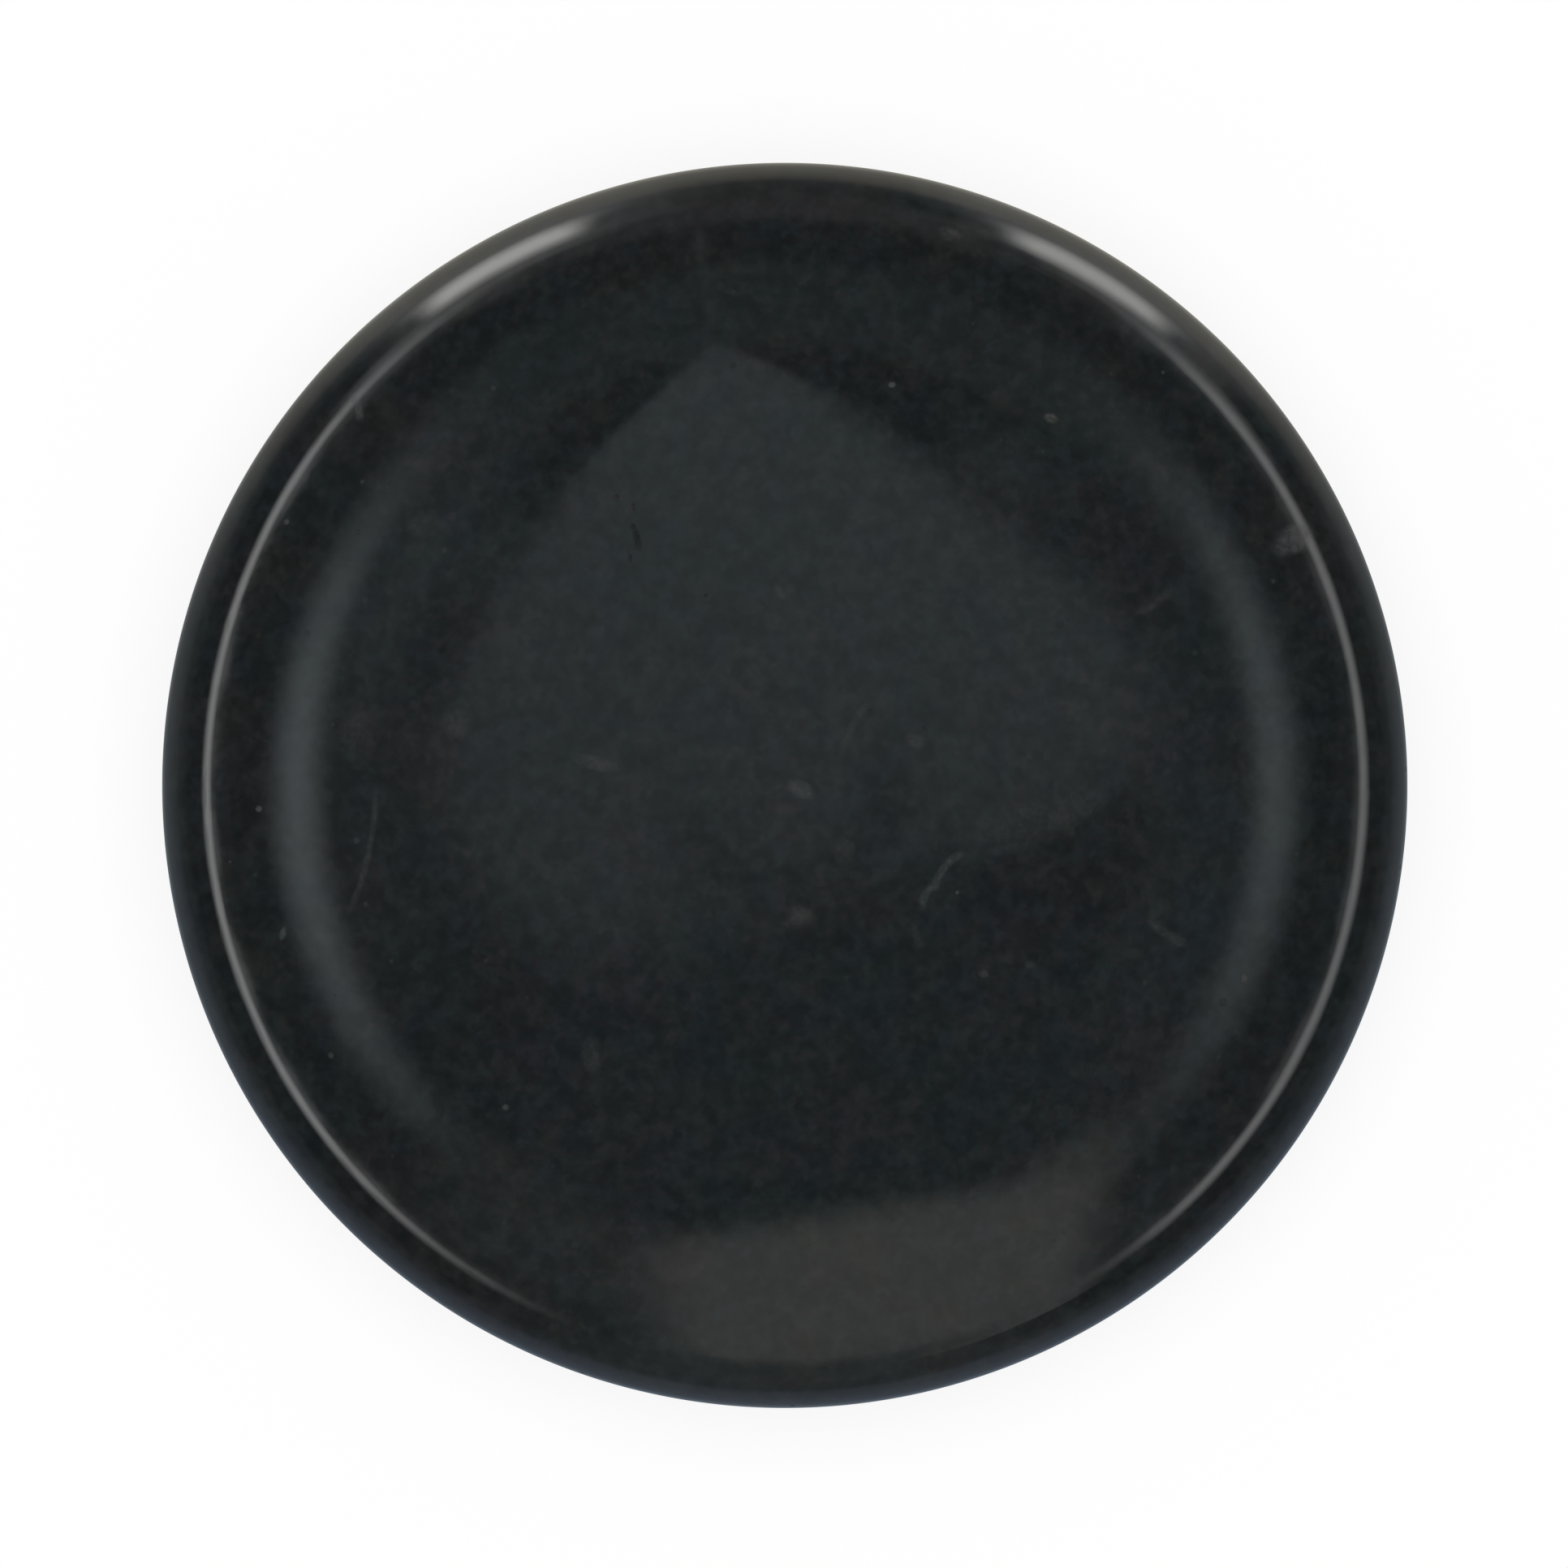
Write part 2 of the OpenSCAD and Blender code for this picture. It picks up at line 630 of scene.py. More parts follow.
@dataclass(frozen=True)
class PolishedBasalt:
    """Finish of the stone: fine dark grain under a polish, with marks of use.

    Attributes:
        section: The stone's section, for where its rim lies.
        body: The rock's usual colour.
        cool: Colour of the cooler crystals.
        warm: Colour of the warmer crystals.
        bluish: Tinge of some patches.
        greenish: Tinge of the others.
        pale: Colour of pale grains and of scratched rock.
        crystal: Size of the crystals.
        mottle: Size of the patches of like crystals.
        bend: How far the crystals' outlines are bent.
        grains: The pale grains.
        pits: The dull pits, which the arris, rubbed smooth, doesn't have. Their darker colour is painted
            shade.
        polish: Roughness of the polish where it is best.
        hazy: How much rougher it is where it is hazy.
        grainy: How much rougher it is on some grains.
        dull: Roughness where grain shows or hands have dulled it.
        raw: Roughness inside the open pores.
        rim_polish: Roughness of the shoulders and the nose, which the machine polishes less.
        relief: Height of the relief that is too fine for the mesh.
        refraction: Refractive index, which decides how much the polish reflects.
        pore_painted_shade: Painted shade in a pore: how much darker its colour is made there.
        pit_painted_shade: Painted shade in a pit: how much darker its colour is made there.
        grain_share: How much of the pale colour a pale grain has.
        mark_share: How much of it a scratch or a smudge has.
        grit: Size of the finest grain, which tears the marks and roughens the surface.
        ripple: Size of the polish's ripples.
        grain_size: Size of the spots where the polish is grainy.
        haze_size: Size of the spots where it is hazy.
        pit_start: Distances from the arris between which the pits set in.
        rim_start: Distances beyond the arris between which the rim's polish sets in.
    """

    section: Section
    body: Colour = (0.0078, 0.0090, 0.0094)
    cool: Colour = (0.0066, 0.0091, 0.0093)
    warm: Colour = (0.0093, 0.0090, 0.0098)
    bluish: Colour = (1.0, 0.97, 1.08)
    greenish: Colour = (1.0, 1.03, 0.93)
    pale: Colour = (0.085, 0.085, 0.08)
    crystal: float = 0.42 * MM
    mottle: float = 1.1 * MM
    bend: float = 0.15 * MM
    grains: Dots = Dots(2.4 * MM, 0.07, 0.03, 0.05)
    pits: Dots = Dots(1.5 * MM, 0.45, 0.06, 0.13)
    polish: float = 0.045
    hazy: float = 0.012
    grainy: float = 0.02
    dull: float = 0.4
    raw: float = 0.85
    rim_polish: float = 0.17
    relief: float = 0.0008 * MM
    refraction: float = 1.5
    pore_painted_shade: float = 0.1
    pit_painted_shade: float = 0.3
    grain_share: float = 0.4
    mark_share: float = 0.3
    grit: float = 0.35 * MM
    ripple: float = 1.4 * MM
    grain_size: float = 0.6 * MM
    haze_size: float = 6 * MM
    pit_start: tuple[float, float] = (0.6 * MM, 1.2 * MM)
    rim_start: tuple[float, float] = (0.7 * MM, 1.5 * MM)

    def material(self) -> Material:
        """Builds the material.

        Returns:
            The new material.
        """
        made, wiring = new_material("polished_basalt")
        shader = made.node_tree.nodes["Principled BSDF"]
        off_arris = wiring.step(abs(wiring.out - self.section.arris), *self.pit_start)
        marks = self._marks(wiring)
        pores = wiring.math("MINIMUM", sum(pore.mask(wiring) for pore in PORES), 1.0)
        pits = self.pits.mask(wiring) * off_arris
        # Painted shade: the colour is made darker inside each pore.
        colour = wiring.scaled(self._rock(wiring), 1.0 - pores * self.pore_painted_shade)
        # Painted shade: the colour is made darker in each pit.
        colour = wiring.scaled(colour, 1.0 - pits * self.pit_painted_shade)
        colour = wiring.mix(self.grains.mask(wiring) * self.grain_share, colour, self.pale)
        colour = wiring.mix(marks * self.mark_share, colour, self.pale)
        wiring.feed(shader.inputs["Base Color"], colour)
        worn = wiring.math("MAXIMUM", wiring.math("MAXIMUM", marks, pits), pores * (self.raw / self.dull))
        wiring.feed(shader.inputs["Roughness"], self._roughness(wiring, worn))
        wiring.feed(shader.inputs["Normal"], self._relief(wiring, marks))
        shader.inputs["IOR"].default_value = self.refraction
        return made

    def _rock(self, wiring: Wiring) -> Signal:
        """Colour of the rock itself.

        Args:
            wiring: The material's wiring.

        Returns:
            The colour.
        """
        shift = wiring.vector("SUBTRACT", wiring.noise(4 * self.bend, 1.0, output="Color"), (0.5, 0.5, 0.5))
        bent = wiring.vector("ADD", wiring.place, wiring.scaled(shift, 2 * self.bend))
        inputs = {"Vector": bent, "Scale": 1 / self.crystal, "Smoothness": 0.5}
        crystals = wiring.signal("ShaderNodeTexVoronoi", inputs, "Color", feature="SMOOTH_F1")
        kind, light, _ = wiring.split(crystals, "Color")
        hue = kind * 0.2 + wiring.noise(5 * self.mottle, 2.0, 0.6) * 0.8
        colour = wiring.mix(wiring.step(hue, 0.5, 0.61), self.body, self.warm)
        colour = wiring.mix(wiring.step(hue, 0.5, 0.39), colour, self.cool)
        tinge = wiring.step(wiring.noise(2.5 * self.mottle, 1.0), 0.35, 0.65)
        colour = wiring.mix(1.0, colour, wiring.mix(tinge, self.bluish, self.greenish), "MULTIPLY")
        patches = wiring.step(wiring.noise(self.mottle, 2.0, 0.55), 0.3, 0.7, 0.69, 1.31)
        return wiring.scaled(colour, (light * 0.42 + 0.79) * patches)

    def _marks(self, wiring: Wiring) -> Signal:
        """Where scratches and smudges lie on the upper side, a little torn by the grain.

        Args:
            wiring: The material's wiring.

        Returns:
            A mask from 0 to 1.
        """
        torn = wiring.step(wiring.noise(self.grit, 3.0, 0.65), 0.35, 0.7, 0.5, 1.1)
        upper = wiring.axes[2] > self.section.height / 2
        return wiring.math("MULTIPLY", sum(mark.mask(wiring) for mark in MARKS) * torn, upper, clamp=True)

    def _roughness(self, wiring: Wiring, worn: Signal) -> Signal:
        """Roughness of the surface.

        Args:
            wiring: The material's wiring.
            worn: The mask of all that has no polish.

        Returns:
            The roughness.
        """
        grain = wiring.step(wiring.noise(self.grain_size, 2.0, 0.6), 0.3, 0.75, 0.0, self.grainy)
        haze = wiring.step(wiring.noise(self.haze_size, 2.0, 0.55), 0.4, 0.75, 0.0, self.hazy)
        low, high = (self.section.arris + out for out in self.rim_start)
        rim = wiring.step(wiring.out, low, high, 0.0, self.rim_polish - self.polish)
        dulled = worn * (self.dull - self.polish)
        return wiring.math("ADD", haze + self.polish + grain + rim, dulled, clamp=True)

    def _relief(self, wiring: Wiring, marks: Signal) -> Signal:
        """Returns the normal of the relief that is too fine for the mesh."""
        height = wiring.noise(self.grit, 2.0, 0.6) * 0.12 + wiring.noise(self.ripple, 2.0) - marks * 0.8
        return wiring.signal("ShaderNodeBump", {"Height": height, "Strength": 1.0, "Distance": self.relief})


@dataclass(frozen=True)
class TurnedStone:
    """The stone: its section turned by Geometry Nodes, with its open pores sunk into the result.

    Attributes:
        section: The section that is turned.
        finish: The finish of its surface.
        pores: The open pores.
        margins: How far round the pores the mesh is made finer, step by step, in millimetres.
        wave_height: Height of the slight unevenness that hand polishing leaves.
        wave_size: Size of that unevenness.
        chip_depth: Depth of the small chips along the arris.
        chip_size: Size of those chips.
        chip_reach: How far from the arris they lie.
        wobble_height: Height of the unevenness of the arris, which is eased by hand.
        wobble_size: Length of that unevenness.
        wobble_reach: How far from the arris it reaches.
        free: Heights between which all this sets in, so that the resting flat stays flat.
    """

    section: Section
    finish: PolishedBasalt
    pores: tuple[Pore, ...] = PORES
    margins: tuple[float, ...] = (1.3, 0.7, 0.3, 0.1)
    wave_height: float = 0.0012 * MM
    wave_size: float = 5 * MM
    chip_depth: float = 0.002 * MM
    chip_size: float = 0.9 * MM
    chip_reach: float = 0.45 * MM
    wobble_height: float = 0.016 * MM
    wobble_size: float = 4.5 * MM
    wobble_reach: float = 0.9 * MM
    free: tuple[float, float] = (0.3 * MM, 1.0 * MM)

    def build(self) -> bpy.types.Object:
        """Builds the stone and hands it to the frame.

        Returns:
            The finished piece.
        """
        stone = self._turned()
        self._sink_pores(stone)
        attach(stone, "root")
        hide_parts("stone")
        return stone

    def _turned(self) -> bpy.types.Object:
        """Turns the section.

        Returns:
            The result, as a plain mesh object.
        """
        section = new_mesh("section", [(out, 0.0, up) for out, up in self.section.points()])
        carrier = new_object("section", section)
        values = {
            "Cells Across": 2 * self.section.dome_rings,
            "Rim Rows": self.section.rim_rows,
            "Wave Height": self.wave_height,
            "Wave Size": self.wave_size,
            "Chip Depth": self.chip_depth,
            "Chip Size": self.chip_size,
            "Wobble Height": self.wobble_height,
            "Wobble Size": self.wobble_size,
            "Arris": self.section.arris,
            "Finish": self.finish.material(),
        }
        tree, identifiers = self._tree(values)
        modifier = carrier.modifiers.new("turning", "NODES")
        modifier.node_group = tree
        for name, value in values.items():
            modifier[identifiers[name]] = value
        graph = bpy.context.evaluated_depsgraph_get()
        turned = bpy.data.meshes.new_from_object(carrier.evaluated_get(graph))
        turned.name = "basalt_stone"
        bpy.data.objects.remove(carrier)
        return new_object("basalt_stone", turned)

    def _tree(self, values: dict[str, Any]) -> tuple[bpy.types.NodeTree, dict[str, str]]:
        """Builds the tree that turns a section, whose points are the input geometry, into the stone.

        Args:
            values: What its named inputs will be.

        Returns:
            The tree, and the identifier of each named input.
        """
        kinds = {int: "NodeSocketInt", float: "NodeSocketFloat", Material: "NodeSocketMaterial"}
        tree = bpy.data.node_groups.new("turned_stone", "GeometryNodeTree")
        for way in ("INPUT", "OUTPUT"):
            tree.interface.new_socket("Geometry", in_out=way, socket_type="NodeSocketGeometry")
        identifiers = {}
        for name, value in values.items():
            made = tree.interface.new_socket(name, in_out="INPUT", socket_type=kinds[type(value)])
            identifiers[name] = made.identifier
        wiring = Wiring(tree)
        given = {socket.name: Signal(wiring, socket) for socket in wiring.node("NodeGroupInput").outputs}
        shape = self._wrap(wiring, given)
        for height in self._unevenness(wiring, given):
            shape = self._displaced(wiring, shape, height)
        smooth = wiring.signal("GeometryNodeSetShadeSmooth", {"Geometry": shape})
        real = wiring.signal("GeometryNodeRealizeInstances", {"Geometry": smooth})
        done = wiring.signal("GeometryNodeSetMaterial", {"Geometry": real, "Material": given["Finish"]})
        wiring.node("NodeGroupOutput", {"Geometry": done})
        return tree, identifiers

    def _wrap(self, wiring: Wiring, given: dict[str, Signal]) -> Signal:
        """Wraps a box of even faces round the stone, so that it is closed and has no pole.

        The box's top and bottom become the domes, and its four walls become the rim.

        Args:
            wiring: The tree's wiring.
            given: The tree's inputs.

        Returns:
            The wrapped mesh.
        """
        across, rows = given["Cells Across"], given["Rim Rows"]
        counts = {"Vertices X": across + 1.0, "Vertices Y": across + 1.0, "Vertices Z": rows + 1.0}
        box = wiring.signal("GeometryNodeMeshCube", {"Size": (2.0, 2.0, 2.0), **counts}, "Mesh")
        x, y, z = wiring.axes
        inward = 1.0 - wiring.math("MAXIMUM", abs(x), abs(y))
        on_dome = across * 0.5 * (1.0 - wiring.math("SIGN", z) * inward)
        ring = wiring.math("ROUND", (1.0 - z) * 0.5 * rows + on_dome)
        sample = {"Geometry": given["Geometry"], "Value": wiring.place, "Index": ring}
        point = wiring.signal("GeometryNodeSampleIndex", sample, data_type="FLOAT_VECTOR")
        out, _, up = wiring.split(point)
        turn = self._turn(x, y)
        east, north = out * wiring.math("COSINE", turn), out * wiring.math("SINE", turn)
        place = wiring.signal("ShaderNodeCombineXYZ", {"X": east, "Y": north, "Z": up})
        return wiring.signal("GeometryNodeSetPosition", {"Geometry": box, "Position": place})

    def _turn(self, x: Signal, y: Signal) -> Signal:
        """Direction in plan of each point of the box, so that the points of a ring are evenly spaced.

        Args:
            x: The point's place in plan.
            y: The same.

        Returns:
            The direction in radians.
        """
        eighth = pi / 4
        by_x = y / x * eighth + (x < 0.0) * pi
        by_y = x / y * -eighth + pi / 2 + (y < 0.0) * pi
        return by_x + (by_y - by_x) * (abs(x) < abs(y))

    def _unevenness(self, wiring: Wiring, given: dict[str, Signal]) -> Iterator[Signal]:
        """Goes through what hand work leaves: waves everywhere, then chips and wobbles along both arrises.

        Args:
            wiring: The tree's wiring.
            given: The tree's inputs.

        Yields:
            The height of each kind at each point. That of the chips is never above 0.
        """
        gap = abs(wiring.out - given["Arris"])
        by_chips, by_wobble = (
            wiring.step(gap, 0.1 * reach, reach, 1.0, 0.0) for reach in (self.chip_reach, self.wobble_reach)
        )
        yield (wiring.noise(given["Wave Size"], 1.0) - 0.5) * given["Wave Height"]
        chipped = wiring.step(wiring.noise(given["Chip Size"], 3.0), 0.52, 0.7) * by_chips
        yield chipped * (given["Chip Depth"] * -1.0)
        yield (wiring.noise(given["Wobble Size"], 1.0) - 0.5) * given["Wobble Height"] * by_wobble

    def _displaced(self, wiring: Wiring, shape: Signal, height: Signal) -> Signal:
        """Moves each point of a mesh outwards, but not those of the resting flat.

        Args:
            wiring: The tree's wiring.
            shape: The mesh.
            height: How far each point moves.

        Returns:
            The moved mesh.
        """
        lift = wiring.step(wiring.axes[2], *self.free) * height
        offset = wiring.scaled(wiring.signal("GeometryNodeInputNormal"), lift)
        return wiring.signal("GeometryNodeSetPosition", {"Geometry": shape, "Offset": offset})

    def _sink_pores(self, stone: bpy.types.Object) -> None:
        """Makes the mesh finer round each pore and sinks the pore into it.

        Args:
            stone: The stone.
        """
        mesh = bmesh.new()
        mesh.from_mesh(stone.data)
        lift = mesh.verts.layers.float.new("lift")
        for margin in self.margins:
            self._refine(mesh, lift, margin)
        for pore in self.pores:
            depth = pore.side.value * pore.sink * pore.width * MM
            for vertex in self._near(mesh, pore, 0.0):
                vertex.co.z -= depth * (1.0 - pore.distance(vertex.co))
        mesh.verts.layers.float.remove(lift)
        mesh.to_mesh(stone.data)
        mesh.free()
        stone.data.shade_smooth()

    def _near(self, mesh: bmesh.types.BMesh, pore: Pore, margin: float) -> list[bmesh.types.BMVert]:
        """Returns the points of a pore's side that lie in it, or within a margin in millimetres round it."""
        middle, facing = self.section.height / 2, pore.side.value
        return [v for v in mesh.verts if (v.co.z - middle) * facing > 0 and pore.distance(v.co, margin) < 1]

    def _refine(self, mesh: bmesh.types.BMesh, lift: Any, margin: float) -> None:
        """Halves the edges round all pores and puts the new points on the domes.

        Args:
            mesh: The stone's mesh.
            lift: The layer that holds how far each point lies above the section.
            margin: How far beyond the pores' edges to go, in millimetres.
        """
        near = {vertex for pore in self.pores for vertex in self._near(mesh, pore, margin)}
        for vertex in near:
            vertex[lift] = vertex.co.z - self._exact(vertex.co)
        edges = [edge for edge in mesh.edges if edge.verts[0] in near and edge.verts[1] in near]
        bmesh.ops.subdivide_edges(mesh, edges=edges, cuts=1, use_grid_fill=True)
        for vertex in {vertex for pore in self.pores for vertex in self._near(mesh, pore, margin)}:
            vertex.co.z = self._exact(vertex.co) + vertex[lift]

    def _exact(self, place: Vector) -> float:
        """Returns the section's own height above or below a point, on the side that is nearer to it."""
        upper, _ = self.section.upper_side(hypot(place.x, place.y))
        return upper if place.z > self.section.height / 2 else self.section.height - upper


@dataclass(frozen=True)
class StudioCamera:
    """The camera, straight above the stone.

    Attributes:
        section: The stone's section.
        lens: Focal length in millimetres.
        sensor: Sensor width in millimetres.
        fill: Share of the picture's width that the stone takes up.
        shift: How far the picture's middle lies from the stone's, as a share of its width.
    """

    section: Section
    lens: float = 600.0
    sensor: float = 36.0
    fill: float = 0.7945
    shift: tuple[float, float] = (-0.0005, 0.0009)

    @property
    def height(self) -> float:
        """Height of the camera above the floor."""
        return 2 * self.section.radius / self.fill * self.lens / self.sensor + self.section.height / 2

    def build(self) -> None:
        """Adds the camera and makes it the scene's own."""
        data = bpy.data.cameras.new("camera")
        data.lens = self.lens
        data.sensor_width = self.sensor
        data.shift_x, data.shift_y = self.shift
        camera = new_object("camera", data)
        camera.location = (0.0, 0.0, self.height)
        bpy.context.scene.camera = camera

    def mirrored(self, out: float) -> tuple[float, float]:
        """Returns the height of the stone at a distance out, and how far its mirrored ray leans outward."""
        up, slope = self.section.upper_side(out)
        return up, 2 * slope + atan(out / (self.height - up))


@dataclass(frozen=True)
class Card(ABC):
    """A lit card that shows in the polish, told by where its mirror image lies on the stone.

    Directions are in degrees from +X, and distances are from the axis, in millimetres.

    Attributes:
        name: Its name.
        light: Its brightness, where 1 is white.
        tint: Its colour.
        middle: Direction of its middle in plan.
        spread: How far it reaches to each side, in degrees.
        inner: Distance at which its image begins.
        outer: Distance at which its image ends.
    """

    name: str
    light: float
    tint: Colour
    middle: float
    spread: float
    inner: float
    outer: float

    @abstractmethod
    def share(self, turn: float, out: float) -> float:
        """Returns how bright it is, from 0 to 1, where its image has a direction and a distance."""


@dataclass(frozen=True)
class Band(Card):
    """A card whose image is a piece of a ring.

    Attributes:
        fade_sides: Share of its length over which it fades at each side.
        fade_ends: Share of its width over which it fades at its inner and outer edge.
    """

    fade_sides: float = 0.2
    fade_ends: float = 0.2

    def share(self, turn: float, out: float) -> float:
        """Tells how bright it is.

        Args:
            turn: The direction.
            out: The distance.

        Returns:
            The share of its brightness.
        """
        across = (turn - self.middle + self.spread) / (2 * self.spread)
        along = (out - self.inner) / (self.outer - self.inner)
        sides = eased(min(across, 1 - across) / self.fade_sides)
        return sides * eased(min(along, 1 - along) / self.fade_ends)


@dataclass(frozen=True)
class Patch(Card):
    """A card whose image has straight edges.

    Attributes:
        edges: Each corner in turn, anticlockwise, as X and Y, and how far the edge from it to the next fades.
        near_share: How bright it is on the near side, as a share of the far side.
    """

    edges: tuple[tuple[float, float, float], ...]
    near_share: float = 1.0

    def share(self, turn: float, out: float) -> float:
        """Tells how bright it is.

        Args:
            turn: The direction.
            out: The distance.

        Returns:
            The share of its brightness.
        """
        x, y = out * cos(radians(turn)), out * sin(radians(turn))
        total = self.near_share + (1.0 - self.near_share) * (y + self.outer) / (2 * self.outer)
        for (x0, y0, fade), (x1, y1, _) in zip(self.edges, self.edges[1:] + self.edges[:1]):
            inward = ((x1 - x0) * (y - y0) - (y1 - y0) * (x - x0)) / hypot(x1 - x0, y1 - y0)
            total *= eased(inward / fade)
        return total


def eased(share: float) -> float:
    """Returns a smooth step from 0 to 1 for a share from 0 to 1."""
    clipped = min(1.0, max(0.0, share))
    return clipped * clipped * (3.0 - 2.0 * clipped)


CEILING = (
    (-4, 24.9, 0.2), (-10.6, 19.1, 0.4), (-17, 12, 3), (-22.5, 3, 6), (-22.5, -6, 7), (-13, -15, 9),
    (10, -8.5, 6), (23, -2, 5), (24, 4, 6), (21.5, 10.5, 4), (12, 17.5, 1), (4, 21.9, 0.2),
)
NEAR_WALL = ((-11.3, -25.2, 7), (-9.5, -40, 1), (17, -40, 4), (19.9, -20.4, 2.2))
NEUTRAL: Colour = (1.0, 1.0, 1.0)
DAYLIGHT: Colour = (1.0, 1.0, 0.97)
# A card hides those after it.
CARDS: tuple[Card, ...] = (
    Band("strip_left", 3.9, NEUTRAL, 182, 70, 32.0, 32.76, 0.3, 0.5),
    Band("strip_right", 2.66, NEUTRAL, -1, 61, 32.02, 32.86, 0.18, 0.5),
    Band("window_left", 6.5, DAYLIGHT, 118.5, 10.5, 32.68, 34.2, 0.22, 0.45),
    Band("window_right", 5.6, DAYLIGHT, 59.0, 10.5, 32.68, 34.2, 0.22, 0.45),
    Band("foot_left", 1.1, NEUTRAL, 124, 21, 32.3, 33.1, 0.3, 0.45),
    Band("foot_right", 1.1, NEUTRAL, 48, 19, 32.3, 33.15, 0.3, 0.45),
    Band("halo_left", 0.62, NEUTRAL, 116.5, 20.5, 32.5, 34.3, 0.25, 0.25),
    Band("halo_right", 0.62, NEUTRAL, 57, 20, 32.5, 34.3, 0.25, 0.25),
    Band("strip_top", 0.32, NEUTRAL, 90, 44, 31.6, 33.4, 0.1, 0.3),
    Band("gap_top", 0.26, (0.95, 1.0, 0.98), 92, 20, 32.7, 34.0, 0.3, 0.2),
    Band("gap_near", 0.36, (0.9, 1.0, 1.02), 270, 34, 31.9, 34.2, 0.4, 0.35),
    Band("horizon", 0.26, (0.85, 1.0, 1.05), 270, 180, 33.45, 34.3, 0.001, 0.5),
    Patch("near_wall", 0.74, (0.98, 1.0, 0.96), 276, 44, 23, 33.0, NEAR_WALL),
    Band("near_haze", 0.29, (0.85, 1.0, 1.03), 243, 22, 24.6, 32.6, 0.4, 0.25),
    Band("near_corner", 0.26, (0.85, 1.0, 1.03), 309, 14, 29.5, 32.6, 0.5, 0.4),
    Band("near_glow", 0.56, (0.92, 1.0, 1.0), 305, 17, 24.2, 30.2, 0.5, 0.5),
    Band("band_left", 1.36, (0.88, 1.0, 1.04), 181, 62, 25.3, 29.5, 0.5, 0.5),
    Band("band_right", 1.0, (0.88, 1.0, 1.05), 2, 64, 25.4, 29.7, 0.5, 0.5),
    # A dim card in front of the ceiling card: painted shade that darkens the ceiling's reflection near the
    # middle.
    Band("ceiling_dimmer", 0.27, (0.8, 1.0, 1.05), 290, 110, 3.2, 8.4, 0.25, 0.5),
    Patch("ceiling", 0.59, (0.845, 1.0, 1.04), 180, 180, 0.0, 25.6, CEILING, 0.36),
    Band("wall_corner", 0.34, (0.8, 1.0, 1.0), 99, 1.0, 24.9, 32.0, 0.4, 0.1),
    Band("ceiling_haze", 0.3, (0.85, 1.0, 1.03), 54, 18, 19.0, 25.0, 0.5, 0.5),
    Band("left_glow", 0.4, (0.8, 1.0, 1.04), 150, 36, 21.6, 26.6, 0.5, 0.5),
    Band("ceiling_edge", 0.34, (0.8, 1.0, 1.04), 143, 17, 18.6, 24.0, 0.5, 0.5),
    Band("far_wall", 0.25, (0.78, 1.0, 1.0), 90, 70, 24.0, 29.9, 0.25, 0.2),
    Band("right_wall", 0.24, (0.78, 1.0, 1.12), -5, 60, 19.0, 27.0, 0.4, 0.3),
    Band("left_wall", 0.22, (0.85, 1.0, 1.05), 180, 45, 19.0, 27.0, 0.4, 0.3),
    Band("near_hall", 0.19, (0.75, 1.0, 1.1), 275, 85, 6.0, 27.5, 0.3, 0.25),
)


